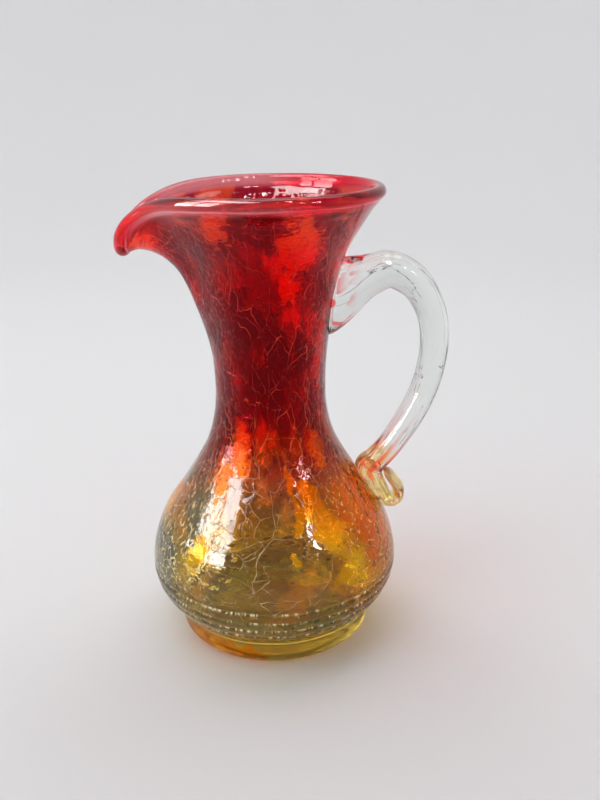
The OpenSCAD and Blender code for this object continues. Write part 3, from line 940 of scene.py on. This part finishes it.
def crackle_glass(glass, body, stretch):
    """Amber glass running up into ruby, with a net of bright cracks in its outer face."""
    material = new_material("crackle_glass")
    tree = material.node_tree
    skin = Skin(tree, glass, body, stretch)
    turned, bent, x, level = skin.turned, skin.bent, skin.x, skin.level
    outside, crackled, at_rim, on_neck = skin.outside, skin.crackled, skin.at_rim, skin.on_neck
    line, crack_shade = crackle_net(skin)
    dotted, between = painted_thread_glints(skin)
    glow_patch = glow_patches(skin)

    # The glass itself, from the foot to the mouth, where its colour lies dense or thin.
    dense = banded(
        level, (0.0, glass.foot), (0.06, glass.foot), (0.12, glass.low), (0.20, glass.low),
        (0.29, glass.bulb), (0.375, glass.shoulder), (0.45, glass.slope), (0.54, glass.neck),
        (0.74, glass.neck), (0.88, glass.mouth))
    thin = banded(
        level, (0.05, glass.orange_glow), (0.09, glass.amber_glow), (0.26, glass.amber_glow),
        (0.38, glass.orange_glow), (0.55, glass.ruby_glow), (0.91, glass.ruby_glow), (0.96, glass.spark))
    edge = banded(level, (0.32, glass.crack), (0.40, glass.blaze), (0.50, glass.blaze), (0.62, glass.spark))
    edge = mixed(ramp(x, -0.15, 0.55) * (1.0 - on_neck) * 0.75, edge, glass.blaze)
    flanks = ramp(level, 0.08, 0.14) * fade(level, 0.34, 0.46)
    # Painted light on the bulb's flanks: the window's grey haze on the left, an orange glow on the handle
    # side.
    dense = layered(
        dense,
        (ramp(x, -0.85, -0.35, 0.95, 0.0) * flanks, glass.window_haze),
        (ramp(x, 0.40, 0.80, 0.0, 0.95) * flanks, glass.ember))
    wash = ramp(noise(stretched(turned, 0.7), 2.3, 4.0), 0.52, 0.60) * ramp(level, 0.09, 0.15, 0.0, 0.7)
    # Painted highlight: the rim is paler on its left side, where the window lights it, and mirrors white
    # there.
    pale = ramp(x, -0.99, -0.88) * fade(x, -0.10, 0.45)
    # Painted light in the tint: the rim's highlight, shade along the cracks, shade between the threads and
    # glints on them.
    tint = layered(
        dense,
        (wash.at_least(glow_patch), thin),
        (at_rim, mixed(pale, glass.rim, glass.rim_highlight)),
        (crack_shade * (1.0 - glow_patch), mixed(on_neck, glass.crack_shade, glass.ruby_dusk)),
        (line * 0.95, edge),
        (between * 0.55, glass.groove),
        (dotted, glass.silver))

    # What it mirrors is tinted as well: a painted reflection colour, red on the ruby and the rim, glow
    # colours on the patches and orange on the handle side.
    bare = outside * (1.0 - at_rim)
    mirrored = layered(
        WHITE,
        (ramp(level, 0.40, 0.50) * bare, glass.sheen),
        (glow_patch * bare, thin),
        (ramp(x, 0.30, 0.75) * flanks * bare * 0.85, glass.ember),
        (at_rim * (1.0 - pale) * 0.7, glass.sheen))

    # Cracks are cut in, cells lean, threads are dotted, and the inside is uneven.
    relief = (line * (glass.depth / MM) * -1.0
              + tilted(bent, skin.per_unit) * outside * crackled * 1.2
              + tilted(bent, skin.per_unit * FINE) * skin.patchy * outside * crackled * 1.7
              + dotted * 0.35 + noise(turned, 22.0, 3.0) * outside * crackled * 0.04
              + noise(turned, 6.0) * skin.side.math("GREATER_THAN", 0.5) * crackled * 0.8)

    # The foot, the rim and the glow patches are a little milky, which lightens the patches' painted glow,
    # and the bright lines are opaque.
    milky = (at_rim * 0.06).at_least(ramp(skin.height, 4 * MM, 8 * MM, 0.14, 0.0))
    milky = milky.at_least(
        glow_patch * ramp(level, 0.40, 0.50, 0.25, 0.5) * ramp(skin.streaked, 0.42, 0.60, 0.4, 1.0))
    opaque = (line * 0.9).at_least(dotted * 0.9).at_least(milky)
    finish_material(tree, {
        "Base Color": tint, "Specular Tint": mirrored, "IOR": 1.45,
        "Roughness": line.at_least(dotted) * 0.2 + 0.02, "Transmission Weight": 1.0 - opaque,
        "Normal": bumped(relief)})
    return material


def drawn_glass(glass, handle, run, unit):
    """Clear glass with cords along the rod, with painted ruby at the pad where the neck shows through,
    orange and yellow towards the landing, and specks of painted glint.
    """
    material = new_material("drawn_glass")
    grain = read(material.node_tree, "grain")
    _, _, along = separate(grain)
    drawn = stretched(grain, 0.14)
    cords = noise(drawn, 2.4) * 0.3 + noise(drawn, 9.0, 1.0) * 0.02 + noise(grain, 1.3, 1.0) * 0.4
    strand = fade(edges(stretched(grain, 0.4), 1.1), 0.0, 0.012)
    arc = along * unit + (noise(grain, 3.0) - 0.5) * (8 * MM)
    landing = run - handle.tail - handle.fold
    landed = ramp(arc, landing - 12 * MM, landing - 2 * MM)
    in_tail = ramp(arc, landing + 1 * MM, landing + 5 * MM)
    # Painted refraction: ruby of the neck seen through the pad.
    refracted_ruby = fade(arc, 2 * MM, 9 * MM) * ramp(noise(grain, 1.9), 0.50, 0.54)
    ember = ramp(arc, landing - 26 * MM, landing) * ramp(noise(drawn, 3.1, 1.0), 0.53, 0.57)
    warm = landed * ramp(noise(drawn, 2.6), 0.44, 0.50) * (1.0 - in_tail * 0.7)
    # Painted glints: small yellow specks of caught light.
    near, chosen, _ = cells(grain, 2.6)
    painted_glint = fade(near, 0.05, 0.08) * ramp(separate(chosen)[0], 0.70, 0.72)
    tint = layered(
        glass.clear,
        (in_tail * 0.55, glass.straw),
        (warm, glass.warmth),
        (landed * ramp(noise(grain, 2.2, 1.0), 0.52, 0.57), glass.straw),
        (refracted_ruby, glass.refracted_ruby),
        (ember * (1.0 - in_tail * 0.9), glass.spark),
        (painted_glint, glass.straw))
    finish_material(material.node_tree, {
        "Base Color": tint, "Roughness": 0.0, "IOR": 1.5, "Transmission Weight": 1.0 - painted_glint * 0.7,
        "Normal": bumped(cords - strand * 0.06)})
    return material


# ---- stage ----

BULB = (0.0, 0.0, 0.06)


def matte(name, tint):
    """The floor's plain finish, with the faintest mottling."""
    material = new_material(name)
    cloud = noise(position(material.node_tree), 6.0, 3.0)
    shade = mixed(cloud, [part * 0.985 for part in tint], tint)
    finish_material(material.node_tree, {"Base Color": shade, "Roughness": 0.9})
    return material


def cove(name, flat, bend, top, segments):
    """A round floor whose edge curves up into a low wall all the way round."""
    turn = np.radians(np.linspace(0, 90, 25))
    line = [(0.0, 0.0)] + [(r, 0.0) for r in np.linspace(0.1, 1.0, 10) * flat]
    line += [(flat + bend * math.sin(a), bend - bend * math.cos(a)) for a in turn[1:]]
    line += [(flat + bend, z) for z in np.linspace(bend, top, 6)[1:]]
    around = [2 * math.pi * k / segments for k in range(segments)]
    work = bmesh.new()
    rings = [[work.verts.new((r * math.cos(a), r * math.sin(a), z)) for a in (around if r else (0.0,))]
             for r, z in line]
    for inner, outer in zip(rings[:-1], rings[1:]):
        for k in range(segments):
            n = (k + 1) % segments
            rest = (outer[k], outer[n], inner[n]) if len(inner) > 1 else (outer[k], outer[n])
            work.faces.new((inner[k % len(inner)], *rest)).smooth = True
    mesh = bpy.data.meshes.new(name)
    work.to_mesh(mesh)
    work.free()
    return add(name, mesh)


def area_light(name, spot, aim, size, radiance, shift=(0.0, 0.0), diffuse=True, mirrored=True):
    """A flat light of a given brightness, turned towards a point and shifted in its own plane."""
    data = bpy.data.lights.new(name, "AREA")
    data.shape = "RECTANGLE"
    data.size, data.size_y = size
    data.energy = radiance * math.pi * size[0] * size[1]
    light = add(name, data)
    turn = (Vector(aim) - Vector(spot)).to_track_quat("-Z", "Y")
    light.rotation_euler = turn.to_euler()
    light.location = Vector(spot) + turn @ Vector((*shift, 0.0))
    light.visible_camera = False
    light.visible_diffuse = diffuse
    light.visible_glossy = light.visible_transmission = mirrored


def reflections():
    """Lights for the glass to mirror: name, place, aim, size, share of the window's light, shift."""
    for column, width in ((-0.14, 0.25), (0.13, 0.22)):
        for row, share in ((-0.20, 1.15), (0.0, 0.9), (0.20, 0.55)):
            yield "window", (-0.57, -0.22, 0.38), BULB, (width, 0.185), share, (column, row)
    yield "skylight", (-0.25, -0.10, 0.75), (0.0, 0.0, 0.10), (0.6, 0.25), 0.6, (0.0, 0.0)
    for column in (-0.035, 0.05):
        yield "lamp", (0.13, -0.33, 0.72), (0.03, 0.0, 0.10), (0.05, 0.04), 3.5, (column, 0.0)
    for shift in ((-0.08, 0.07), (0.0, -0.02), (0.07, 0.05), (0.04, -0.10)):
        yield "lamp", (0.36, -0.36, 0.40), BULB, (0.035, 0.05), 3.0, shift


def camera():
    """Looks down on the pitcher from the front, with the handle on the right."""
    data = bpy.data.cameras.new("camera")
    data.sensor_width = 36.0
    data.lens = 38.51
    data.clip_start, data.clip_end = 0.01, 20.0
    view = add("camera", data)
    pitch, yaw, roll = np.radians([20.29, 2.07, -0.72])
    forward = Vector((math.sin(yaw) * math.cos(pitch), math.cos(yaw) * math.cos(pitch), -math.sin(pitch)))
    level = forward.to_track_quat("-Z", "Y")
    view.rotation_mode = "QUATERNION"
    view.rotation_quaternion = level @ Quaternion((0.0, 0.0, 1.0), roll)
    view.location = (0.0, -230.2 * MM, 154.6 * MM)
    bpy.context.scene.camera = view


# ---- operators ----


def settings_of(group):
    """The settings that a property group declares itself."""
    return [item for item in group.bl_rna.properties if item.identifier not in ("rna_type", "name")]


def settle(piece, node):
    """Makes a finished piece ride on the body in place of its CAD node."""
    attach(piece, BODY)
    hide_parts(node)


class PITCHER_OT_vessel(bpy.types.Operator):
    """Blow the vessel: foot, bulb, neck, flared mouth and pulled spout with a rolled rim"""

    bl_idname = "pitcher.vessel"
    bl_label = "Blow Vessel"
    bl_options = {"REGISTER", "UNDO"}

    def execute(self, context):
        pitcher = context.scene.pitcher
        foot, body, spout = pitcher.foot, pitcher.body, pitcher.spout
        rows, side, near_rim = vessel_guide(foot, body)
        heights = rows[:, 2]
        ring = np.where(side < 0, (heights - body.thread_base) / body.thread_pitch, 0)
        guide = guide_mesh("vessel_guide", {
            "skin": rows[:, :3], "offset": rows[:, 3:],
            "face": np.column_stack([side, ring, near_rim])})
        # The height that counts as one radius where the crackle is laid out.
        stretch = 24 * MM
        recipe = vessel_tree({
            "Turns": 192,
            "Crowding": math.radians(28.0),
            **{item.name: getattr(spout, item.identifier) for item in settings_of(spout)},
            "Rim height": body.rim[0],
            "Bead": body.bead,
            "Bead at the tip": body.bead_tip,
            "Stretch": stretch,
            "Ripple": 0.30 * MM,
            "Ripple scale": 95.0,
            "Thread": -body.thread,
            "Threads": body.threads,
            "Material": crackle_glass(pitcher.glass, body, stretch),
        })
        settle(recipe.cook(guide, "vessel_blown"), "vessel")
        return {"FINISHED"}


class PITCHER_OT_handle(bpy.types.Operator):
    """Draw the handle: a clear rod from the neck to the bulb, with its folded tail"""

    bl_idname = "pitcher.handle"
    bl_label = "Draw Handle"
    bl_options = {"REGISTER", "UNDO"}

    def execute(self, context):
        pitcher = context.scene.pitcher
        profile = Profile(pitcher.foot, pitcher.body)
        # Rings in the pad, steps between two stations, and columns round the rod.
        rings, steps, around = 12, 12, 56
        guide, crest = handle_guide(profile, pitcher.handle, steps, rings)
        rows = len(guide["centre"])
        run, unit = guide["size"][-1, 1], 22 * MM
        recipe = handle_tree({
            "Round": around,
            "Grain": unit,
            "Material": drawn_glass(pitcher.glass, pitcher.handle, run, unit),
        })
        piece = recipe.cook(guide_mesh("handle_guide", guide), "handle_drawn")
        seat_handle(piece, profile, pitcher.handle, around + 1, rows, crest, rings)
        settle(piece, "handle")
        return {"FINISHED"}


class PITCHER_OT_stage(bpy.types.Operator):
    """Set the stage: a pale table, soft room light, one window and the camera"""

    bl_idname = "pitcher.stage"
    bl_label = "Set Stage"
    bl_options = {"REGISTER", "UNDO"}

    def execute(self, context):
        stage = context.scene.pitcher.stage
        floor = cove("table", 0.55, 0.35, 0.95, 96)
        floor.data.materials.append(matte("table_paper", stage.table))
        world = bpy.data.worlds.new("room")
        context.scene.world = world
        world.use_nodes = True
        background = world.node_tree.nodes["Background"]
        background.inputs["Color"].default_value = (*WHITE, 1.0)
        background.inputs["Strength"].default_value = stage.fill
        area_light("softbox", (0.0, 0.34, 0.92), (0.0, 0.14, 0.0), (1.1, 0.5), stage.softbox)
        for name, spot, aim, size, share, shift in reflections():
            area_light(name, spot, aim, size, stage.window * share, shift, diffuse=False)
        area_light("daylight", (-0.34, -0.20, 0.84), BULB, (0.5, 0.6), stage.daylight, mirrored=False)
        camera()
        context.scene.view_settings.view_transform = "Standard"
        return {"FINISHED"}


class PitcherSettings(bpy.types.PropertyGroup):
    """Everything that can be changed on the pitcher."""

    foot: bpy.props.PointerProperty(type=PitcherFoot)
    body: bpy.props.PointerProperty(type=PitcherBody)
    spout: bpy.props.PointerProperty(type=PitcherSpout)
    handle: bpy.props.PointerProperty(type=PitcherHandle)
    glass: bpy.props.PointerProperty(type=PitcherGlass)
    stage: bpy.props.PointerProperty(type=PitcherStage)


STEPS = (PITCHER_OT_stage, PITCHER_OT_vessel, PITCHER_OT_handle)


class PITCHER_PT_panel(bpy.types.Panel):
    """Lists the pitcher's pieces and their sizes"""

    bl_idname = "PITCHER_PT_panel"
    bl_label = "Crackle Glass Pitcher"
    bl_space_type = "VIEW_3D"
    bl_region_type = "UI"
    bl_category = "Pitcher"

    def draw(self, context):
        for step in STEPS:
            self.layout.operator(step.bl_idname)
        pitcher = context.scene.pitcher
        for part in settings_of(pitcher):
            box = self.layout.box()
            box.label(text=part.identifier.capitalize())
            group = getattr(pitcher, part.identifier)
            for item in settings_of(group):
                box.prop(group, item.identifier)


CLASSES = (PitcherFoot, PitcherBody, PitcherSpout, PitcherHandle, PitcherGlass, PitcherStage,
           PitcherSettings, *STEPS, PITCHER_PT_panel)


def register():
    for cls in CLASSES:
        bpy.utils.register_class(cls)
    bpy.types.Scene.pitcher = bpy.props.PointerProperty(type=PitcherSettings)


def unregister():
    del bpy.types.Scene.pitcher
    for cls in reversed(CLASSES):
        bpy.utils.unregister_class(cls)


def main():
    """Builds the stage and every piece."""
    register()
    for step in STEPS:
        group, name = step.bl_idname.split(".")
        getattr(getattr(bpy.ops, group), name)()


if __name__ == "__main__":
    main()
